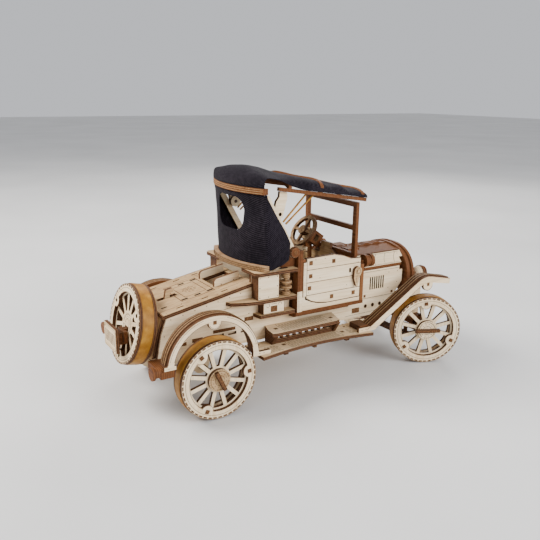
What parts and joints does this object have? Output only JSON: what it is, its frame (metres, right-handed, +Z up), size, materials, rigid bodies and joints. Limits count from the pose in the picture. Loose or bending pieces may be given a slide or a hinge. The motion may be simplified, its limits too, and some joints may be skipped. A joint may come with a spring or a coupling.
{
  "type": "wooden mechanical puzzle car",
  "caption": "Press-together plywood roadster puzzle with spoked wheels, steering front axle, opening doors and a folding cloth top.",
  "frame": {"origin": "on the ground, under the middle of the car's bounding box", "axes": "+X forward, +Y to the car's left, +Z up"},
  "size_m": [0.3393, 0.1554, 0.1914],
  "materials": {
    "ply_face": "bare birch ply face",
    "ply_deck": "bare ply, slightly toasted",
    "ply_edge": "laser-burnt ply edge",
    "rubber_band": "matt natural rubber",
    "top_cloth": "indigo twill"
  },
  "bodies": {
    "root": {"chassis_rails": "ply_face", "floor_plate": "ply_deck", "cross_members": "ply_face", "front_axle_beam": "ply_edge", "running_board_left": "ply_deck", "running_board_right": "ply_deck", "entry_steps": "ply_deck", "tail_sides": "ply_face", "tail_deck": "ply_deck", "tail_panel": "ply_deck", "quarter_shelves": "ply_deck", "quarter_boxes": "ply_face", "side_lanterns": "ply_edge", "door_frame_left": "ply_edge", "door_frame_right": "ply_edge", "seat": "ply_deck", "dashboard": "ply_deck", "steering_column": "ply_deck", "windscreen": "ply_edge", "cowl_trim": "ply_edge", "bonnet_sides": "ply_face", "bonnet_top": "ply_face", "radiator": "ply_edge", "headlamps": "ply_edge", "front_fender_plates": "ply_face", "front_fender_skins": "ply_edge", "rear_fender_plates": "ply_face", "rear_fender_skins": "ply_edge", "tail_lamps": "ply_edge", "spare_rim": "ply_face", "spare_spokes": "ply_face", "spare_tyre": "rubber_band", "spare_bracket": "ply_edge", "number_plate": "ply_face", "curtain_strip": "ply_edge", "rear_curtain": "top_cloth"},
    "roof": {"roof_arms": "ply_face", "roof_rails": "ply_edge", "roof_bows": "ply_edge", "roof_canopy": "top_cloth", "roof_elastics": "rubber_band"},
    "door_left": {"door_left": "ply_face"},
    "door_right": {"door_right": "ply_face"},
    "handle_left": {"handle_left": "ply_deck"},
    "handle_right": {"handle_right": "ply_deck"},
    "steering_wheel": {"steering_wheel": "ply_edge"},
    "knuckle_left": {"knuckle_left": "ply_edge"},
    "knuckle_right": {"knuckle_right": "ply_edge"},
    "tie_rod": {"tie_rod": "ply_face"},
    "front_left_wheel": {"front_left_rim": "ply_face", "front_left_spokes": "ply_face", "front_left_tyre": "rubber_band"},
    "front_right_wheel": {"front_right_rim": "ply_face", "front_right_spokes": "ply_face", "front_right_tyre": "rubber_band"},
    "rear_wheels": {"rear_axle": "ply_edge", "rear_rims": "ply_face", "rear_spokes": "ply_face", "rear_tyres": "rubber_band"},
    "deck_lever": {"deck_lever": "ply_deck"}
  },
  "joints": [
    {"name": "rear_axle_spin", "type": "hinge", "parent": "root", "child": "rear_wheels", "pos_m": [-0.1032, 0, 0.0334], "axis": [0, 1, 0], "continuous": true},
    {"name": "steer_right", "type": "hinge", "parent": "root", "child": "knuckle_right", "pos_m": [0.1305, -0.044, 0.0334], "axis": [0, 0, 1], "range_deg": [0, 49.2]},
    {"name": "steer_left", "type": "hinge", "parent": "root", "child": "knuckle_left", "pos_m": [0.1305, 0.044, 0.0334], "axis": [0, 0, 1], "range_deg": [0, 49.2]},
    {"name": "tie_rod_slide", "type": "slide", "parent": "root", "child": "tie_rod", "axis": [0, 1, 0], "range_m": [-0.01166, 0]},
    {"name": "steering_wheel_turn", "type": "hinge", "parent": "root", "child": "steering_wheel", "pos_m": [0.0298, 0.017, 0.126], "axis": [-0.8192, 0, 0.5736], "range_deg": [0, 98.4]},
    {"name": "front_left_spin", "type": "hinge", "parent": "knuckle_left", "child": "front_left_wheel", "pos_m": [0.13654, 0.05718, 0.0334], "axis": [0.4163, 0.9092, 0], "continuous": true},
    {"name": "front_right_spin", "type": "hinge", "parent": "knuckle_right", "child": "front_right_wheel", "pos_m": [0.12446, -0.05718, 0.0334], "axis": [0.4163, 0.9092, 0], "continuous": true},
    {"name": "door_left_hinge", "type": "hinge", "parent": "root", "child": "door_left", "pos_m": [-0.0097, 0.0415, 0.097], "axis": [0, 0, 1], "range_deg": [0, 70]},
    {"name": "door_right_hinge", "type": "hinge", "parent": "root", "child": "door_right", "pos_m": [-0.0097, -0.0415, 0.097], "axis": [0, 0, 1], "range_deg": [-70, 0]},
    {"name": "handle_left_turn", "type": "hinge", "parent": "door_left", "child": "handle_left", "pos_m": [0.0471, 0.043, 0.0984], "axis": [0, 1, 0], "range_deg": [0, 80]},
    {"name": "handle_right_turn", "type": "hinge", "parent": "door_right", "child": "handle_right", "pos_m": [0.0471, -0.043, 0.0984], "axis": [0, 1, 0], "range_deg": [0, 80]},
    {"name": "roof_fold", "type": "hinge", "parent": "root", "child": "roof", "pos_m": [-0.0222, 0, 0.124], "axis": [0, -1, 0], "range_deg": [0, 50], "deforming": ["rear_curtain"]},
    {"name": "deck_lever_tilt", "type": "hinge", "parent": "root", "child": "deck_lever", "pos_m": [-0.1202, 0, 0.079], "axis": [0, 1, 0], "range_deg": [-14, 14]}
  ],
  "couplings": [
    {"joint": "steer_left", "follows": "steer_right", "ratio": 1},
    {"joint": "tie_rod_slide", "follows": "steer_right", "m_per_rad": -0.013574},
    {"joint": "steering_wheel_turn", "follows": "steer_right", "ratio": 2}
  ]
}
